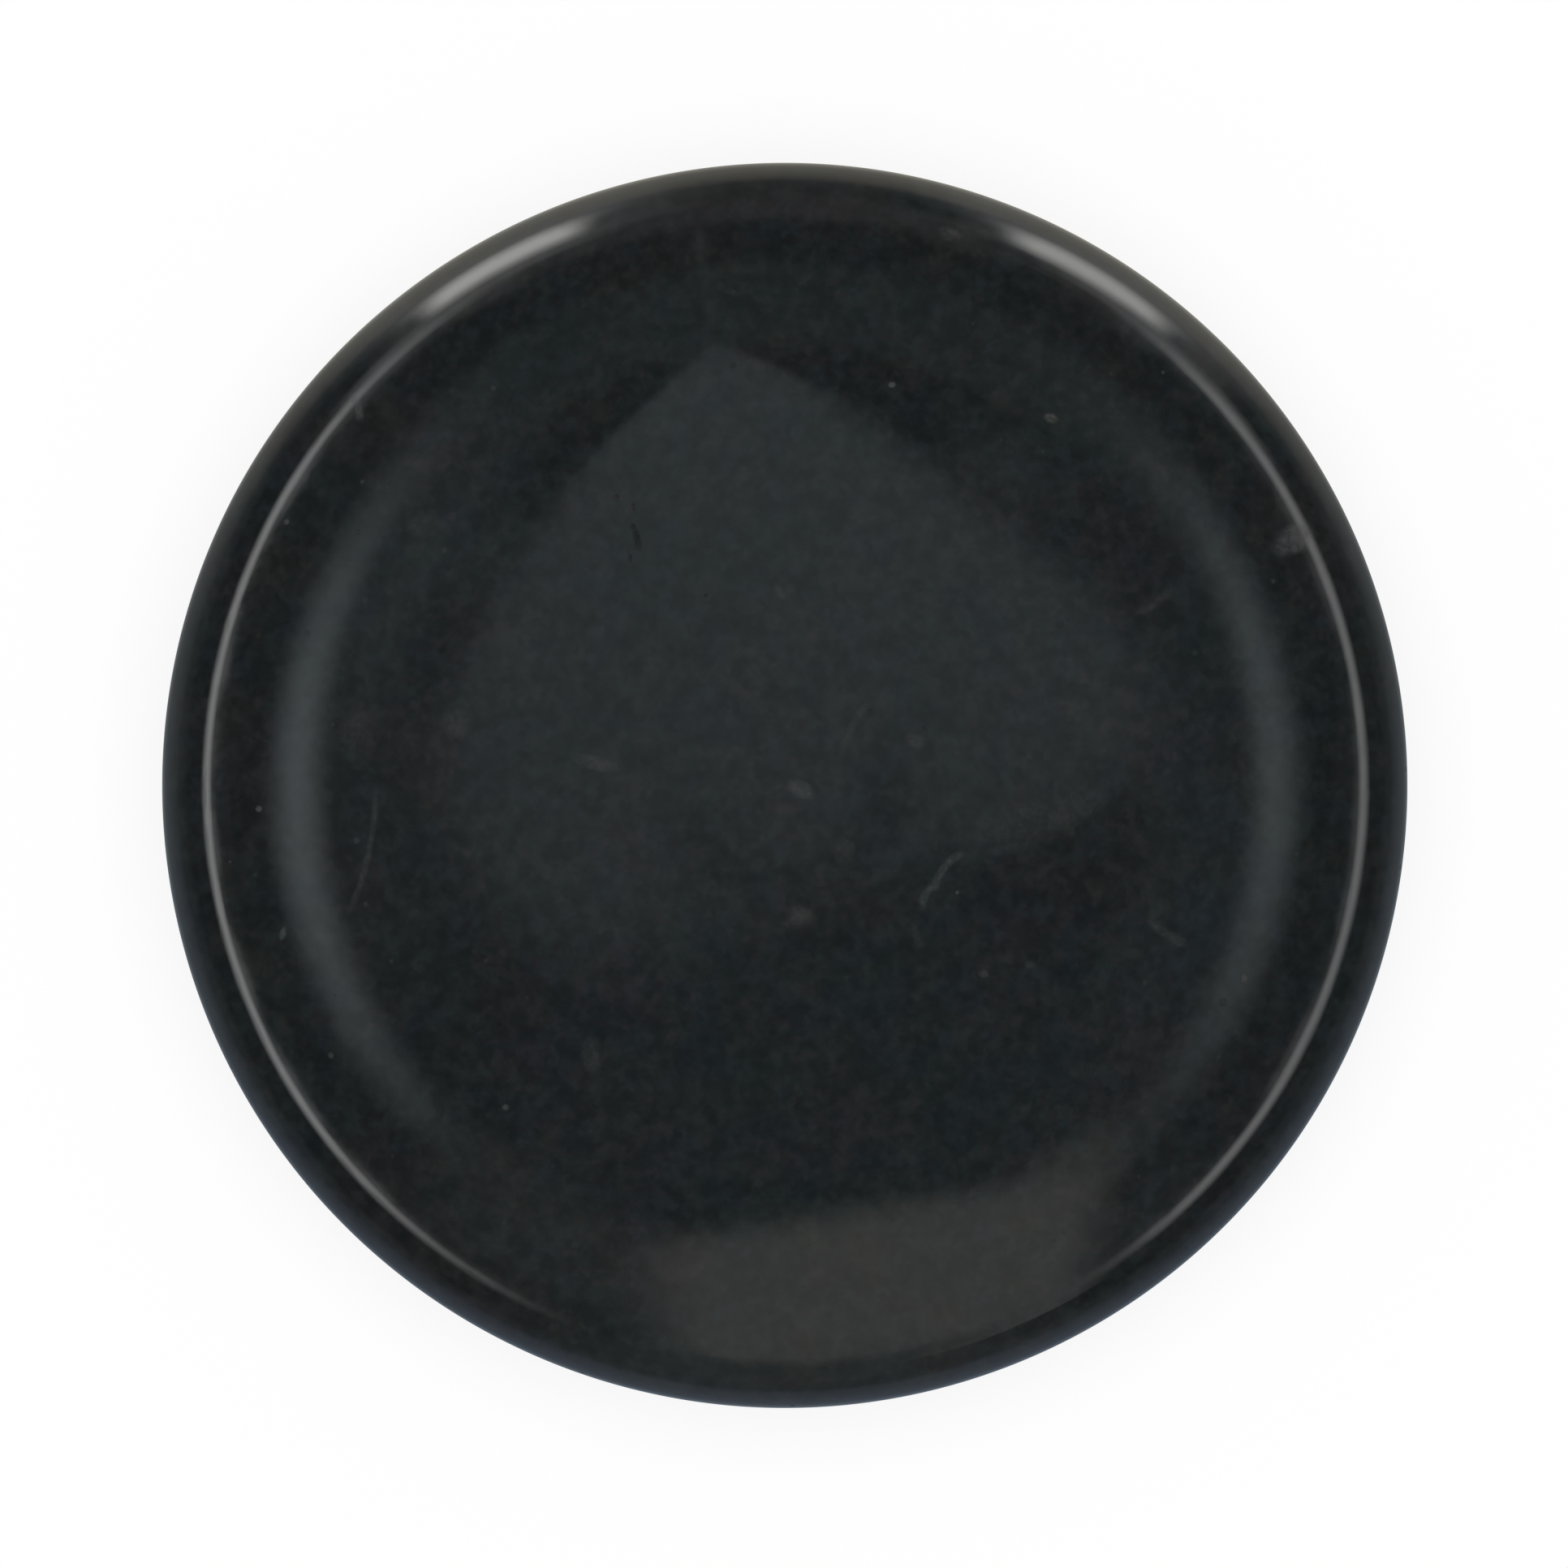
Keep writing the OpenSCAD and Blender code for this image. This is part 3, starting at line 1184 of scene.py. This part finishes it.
@dataclass(frozen=True)
class Studio:
    """Everything round the stone: floor, world, lamps and the cards that its polish reflects.

    Attributes:
        camera: The camera, which decides where a card has to stand.
        reach: Distance of the nearest card.
        step: How much farther each further card stands, as a share of that.
        cell: Size in the image of a card's faces, in millimetres.
        few: The least rows and columns of faces on a card.
        floor_size: Half the width of the floor.
        floor_share: Share of the floor's white that comes from the light on it, and so takes a shadow.
        sky_light: Even light of the world on the stone.
        lamp_light: Brightness of a white surface under the lamp.
        lamp_spread: Width of the lamp as seen from the stone, in degrees.
        wall_light: Brightness of the walls.
        wall_tint: Their colour.
        table_up: Height of the table that the rim mirrors, just over the floor.
        table_near: Its colour on the near side.
        table_side: Its colour at both sides.
        table_far: Its colour on the far side.
        table_fade: Where its light fades: from and to which distance, and its share at both.
        table_shade: The same for the stone's own shade on it.
        table_sheens: The sheen of windows and wall on it: direction and spread in degrees, and brightness.
        sheen_start: Distances between which the sheens set in.
    """

    camera: StudioCamera
    reach: float = 1.2
    step: float = 0.02
    cell: float = 0.2
    few: int = 24
    floor_size: float = 3.0
    floor_share: float = 0.16
    sky_light: float = 0.3
    lamp_light: float = 0.7
    lamp_spread: float = 50.0
    wall_light: float = 0.13
    wall_tint: Colour = (0.85, 1.0, 1.05)
    table_up: float = 0.02 * MM
    table_near: Colour = (0.31, 0.38, 0.47)
    table_side: Colour = (0.36, 0.4, 0.42)
    table_far: Colour = (0.74, 0.72, 0.63)
    table_fade: tuple[float, ...] = (0.06, 0.25, 1.0, 0.66)
    table_shade: tuple[float, ...] = (0.044, 0.054, 0.76, 1.0)
    table_sheens: tuple[tuple[float, float, float], ...] = ((118, 22, 0.55), (59, 22, 0.55), (270, 40, 0.14))
    sheen_start: tuple[float, float] = (0.02, 0.12)

    def build(self) -> None:
        """Builds the studio."""
        self._world()
        self._lamps()
        self._floor()
        self._walls()
        self._table()
        for place, card in enumerate(CARDS):
            self._card(card, self.reach * (1 + self.step * place))

    def _white(self, wiring: Wiring) -> Signal:
        """Finds the rays that show the background.

        Args:
            wiring: The wiring of a material or of the world.

        Returns:
            1 for rays from the camera, and for mirrored and refracted ones.
        """
        rays = wiring.node("ShaderNodeLightPath").outputs
        kinds = [Signal(wiring, rays[f"Is {kind} Ray"]) for kind in ("Camera", "Glossy", "Transmission")]
        return wiring.math("MAXIMUM", wiring.math("MAXIMUM", kinds[0], kinds[1]), kinds[2])

    def _world(self) -> None:
        """A white background, and a little even light on the stone."""
        world = bpy.data.worlds.new("studio")
        world.use_nodes = True
        bpy.context.scene.world = world
        wiring = Wiring(world.node_tree)
        background = world.node_tree.nodes["Background"]
        background.inputs["Color"].default_value = (*NEUTRAL, 1.0)
        strength = self._white(wiring) * (1.0 - self.sky_light) + self.sky_light
        wiring.feed(background.inputs["Strength"], strength)

    def _lamps(self) -> None:
        """Soft light from above. The cards give the reflections, so the lamp shows in none."""
        data = bpy.data.lights.new("soft_top", "SUN")
        data.energy = self.lamp_light * pi
        data.angle = radians(self.lamp_spread)
        new_object("soft_top", data).visible_glossy = False

    def _staged(self, mesh: Mesh, material: Material, seen: bool = False) -> None:
        """Adds a stage object, which bears its mesh's name.

        Args:
            mesh: Its mesh.
            material: Its material.
            seen: Whether it shows in all rays, and not in mirrored ones alone.
        """
        mesh.materials.append(material)
        made = new_object(mesh.name, mesh)
        if not seen:
            for ray in ("camera", "diffuse", "transmission", "volume_scatter", "shadow"):
                setattr(made, f"visible_{ray}", False)

    def _square(self, name: str, half: float, up: float) -> Mesh:
        """Adds the mesh of a level square, from half its width and its height."""
        corners = [(-half, -half, up), (half, -half, up), (half, half, up), (-half, half, up)]
        return new_mesh(name, corners, [(0, 1, 2, 3)])

    def _surface(self, wiring: Wiring, shader: Signal) -> None:
        """Gives a new material a shader of its own."""
        wiring.tree.nodes.remove(wiring.tree.nodes["Principled BSDF"])
        wiring.feed(wiring.tree.nodes["Material Output"].inputs["Surface"], shader)

    def _floor(self) -> None:
        """The pale floor, which keeps the stone's soft shadow."""
        material, wiring = new_material("pale_floor")
        matt = wiring.signal("ShaderNodeBsdfDiffuse", {"Color": (*[self.floor_share] * 3, 1.0)})
        strength = self._white(wiring) * (1.0 - self.floor_share)
        glow = wiring.signal("ShaderNodeEmission", {"Strength": strength})
        self._surface(wiring, wiring.signal("ShaderNodeAddShader", {0: matt, 1: glow}))
        self._staged(self._square("floor", self.floor_size, 0.0), material, seen=True)

    def _glow(self, name: str, light: float, tint: Colour = NEUTRAL, faded: bool = False) -> Material:
        """Builds the material of a card.

        Args:
            name: Its name.
            light: Its brightness.
            tint: Its colour.
            faded: Whether the card's own attribute fades it.

        Returns:
            The material.
        """
        material, wiring = new_material(name)
        material.cycles.emission_sampling = "NONE"
        surface = wiring.signal("ShaderNodeEmission", {"Color": (*tint, 1.0), "Strength": light})
        if faded:
            share = wiring.signal("ShaderNodeAttribute", output="Fac", attribute_name="lit")
            clear = wiring.signal("ShaderNodeBsdfTransparent")
            surface = wiring.signal("ShaderNodeMixShader", {0: share, 1: clear, 2: surface})
        self._surface(wiring, surface)
        return material

    def _card(self, card: Card, distance: float) -> None:
        """Stands one card where its image lies as asked.

        Args:
            card: The card.
            distance: How far from the stone it stands.
        """
        rows = max(self.few, round((card.outer - card.inner) / self.cell))
        columns = max(self.few, round(2 * card.spread))
        corners, shares = [], []
        for row in range(rows + 1):
            out = card.inner + (card.outer - card.inner) * row / rows
            up, lean = self.camera.mirrored(out * MM)
            level, height = out * MM + distance * sin(lean), up + distance * cos(lean)
            for column in range(columns + 1):
                turn = card.middle + card.spread * (2 * column / columns - 1)
                corners.append((level * cos(radians(turn)), level * sin(radians(turn)), height))
                shares.append(card.share(turn, out))
        width = columns + 1
        starts = [row * width + column for row in range(rows) for column in range(columns)]
        faces = [(start, start + 1, start + width + 1, start + width) for start in starts]
        mesh = new_mesh(card.name, corners, faces)
        mesh.attributes.new("lit", "FLOAT", "POINT").data.foreach_set("value", shares)
        self._staged(mesh, self._glow(card.name, card.light, card.tint, faded=True))

    def _walls(self) -> None:
        """Dim walls all round, which the polish mirrors where no card stands."""
        ball = bmesh.new()
        bmesh.ops.create_uvsphere(ball, u_segments=64, v_segments=32, radius=2 * self.reach)
        mesh = bpy.data.meshes.new("walls")
        ball.to_mesh(mesh)
        ball.free()
        self._staged(mesh, self._glow("walls", self.wall_light, self.wall_tint))

    def _table(self) -> None:
        """The table top that the rim mirrors: dim close to the stone, warm and bright on the far side."""
        material = self._glow("table", 1.0)
        wiring = Wiring(material.node_tree)
        toward = wiring.vector("NORMALIZE", wiring.place)
        away = wiring.vector("LENGTH", wiring.place, output="Value")
        far = wiring.split(toward)[1]
        colour = wiring.mix(wiring.step(far, -0.8, 0.3), self.table_near, self.table_side)
        colour = wiring.mix(wiring.step(far, 0.2, 0.9), colour, self.table_far)
        for ramp in (self.table_fade, self.table_shade):
            colour = wiring.scaled(colour, wiring.step(away, *ramp))
        for turn, spread, light in self.table_sheens:
            middle = (cos(radians(turn)), sin(radians(turn)), 0.0)
            near = wiring.vector("DOT_PRODUCT", toward, middle, output="Value")
            sheen = wiring.step(near, cos(radians(spread)), 1.0, 0.0, light)
            sheen *= wiring.step(away, *self.sheen_start)
            colour = wiring.vector("ADD", colour, wiring.scaled(NEUTRAL, sheen))
        wiring.feed(material.node_tree.nodes["Emission"].inputs["Color"], colour)
        self._staged(self._square("table", 2 * self.reach, self.table_up), material)


def main() -> None:
    """Builds the stone and its studio."""
    logging.basicConfig(level=logging.INFO, format="%(name)s: %(message)s")
    low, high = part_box("stone")
    # The solid's facets cut its circle short, so the least reach of its box counts.
    radius = min(-low.x, high.x, -low.y, high.y) - SPARE
    section = Section(radius, high.z - low.z)
    camera = StudioCamera(section)
    camera.build()
    stone = TurnedStone(section, PolishedBasalt(section)).build()
    triangles = sum(len(polygon.vertices) - 2 for polygon in stone.data.polygons)
    LOG.info("%s: %d triangles", stone.name, triangles)
    Studio(camera).build()
    bpy.context.scene.view_settings.view_transform = "Standard"


if __name__ == "__main__":
    main()
